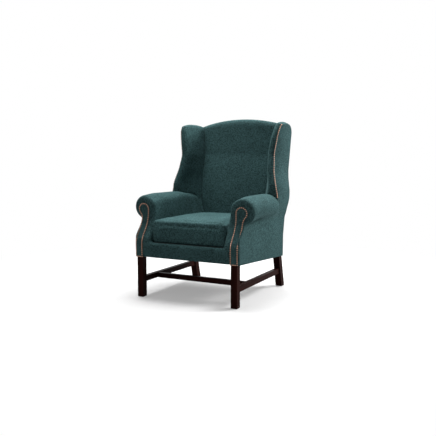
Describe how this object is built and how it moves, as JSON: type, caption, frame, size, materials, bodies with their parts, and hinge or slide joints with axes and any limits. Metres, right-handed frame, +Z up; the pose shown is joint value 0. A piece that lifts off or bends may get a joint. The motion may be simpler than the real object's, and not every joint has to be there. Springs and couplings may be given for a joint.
{
  "type": "wing armchair",
  "caption": "Upholstered wing armchair with rolled arms, nailed arm facings, a loose seat cushion, square front legs, raked rear legs and an H stretcher.",
  "frame": {"origin": "on the floor under the centre of the overall box", "axes": "+Z up; the chair faces -Y; +X is the right side as seen from in front of the chair"},
  "size_m": [0.8106, 0.8136, 1.106],
  "materials": {
    "velvet": "slate teal chenille with a short mottled nap",
    "mahogany": "very dark red-brown stain under a satin lacquer",
    "frame_wood": "sawn hardwood, unfinished",
    "webbing": "woven jute webbing",
    "deck_cloth": "plain lining cloth over thin wadding",
    "dust_cloth": "black lining cloth",
    "glide": "dark plastic glide"
  },
  "bodies": {
    "chair": {"arm_facing_left": "velvet", "arm_facing_right": "velvet", "arm_post_left": "frame_wood", "arm_post_right": "frame_wood", "arm_rail_left": "frame_wood", "arm_rail_right": "frame_wood", "arm_roll_left": "velvet", "arm_roll_right": "velvet", "back_post_left": "frame_wood", "back_post_right": "frame_wood", "back_webbing": "webbing", "crest_rail": "frame_wood", "cross_stretcher": "mahogany", "dust_cover": "dust_cloth", "front_border": "velvet", "front_corner_block_left": "frame_wood", "front_corner_block_right": "frame_wood", "front_glide_left": "glide", "front_glide_right": "glide", "front_leg_left": "mahogany", "front_leg_right": "mahogany", "front_rail": "frame_wood", "inside_arm_left": "velvet", "inside_arm_right": "velvet", "inside_back": "velvet", "lower_arm_rail_left": "frame_wood", "lower_arm_rail_right": "frame_wood", "lower_back_rail": "frame_wood", "outside_arm_left": "velvet", "outside_arm_right": "velvet", "outside_back": "velvet", "outside_wing_left": "velvet", "outside_wing_right": "velvet", "rear_corner_block_left": "frame_wood", "rear_corner_block_right": "frame_wood", "rear_glide_left": "glide", "rear_glide_right": "glide", "rear_leg_left": "mahogany", "rear_leg_right": "mahogany", "rear_rail": "frame_wood", "seat_deck": "deck_cloth", "seat_webbing": "webbing", "side_rail_left": "frame_wood", "side_rail_right": "frame_wood", "side_stretcher_left": "mahogany", "side_stretcher_right": "mahogany", "wing_pad_left": "velvet", "wing_pad_right": "velvet", "wing_post_left": "frame_wood", "wing_post_right": "frame_wood", "wing_rail_left": "frame_wood", "wing_rail_right": "frame_wood"},
    "cushion": {"seat_cushion": "velvet"}
  },
  "joints": [
    {"name": "cushion_lift", "type": "slide", "parent": "chair", "child": "cushion", "axis": [0, 0, 1], "range_m": [0, 0.3]}
  ]
}
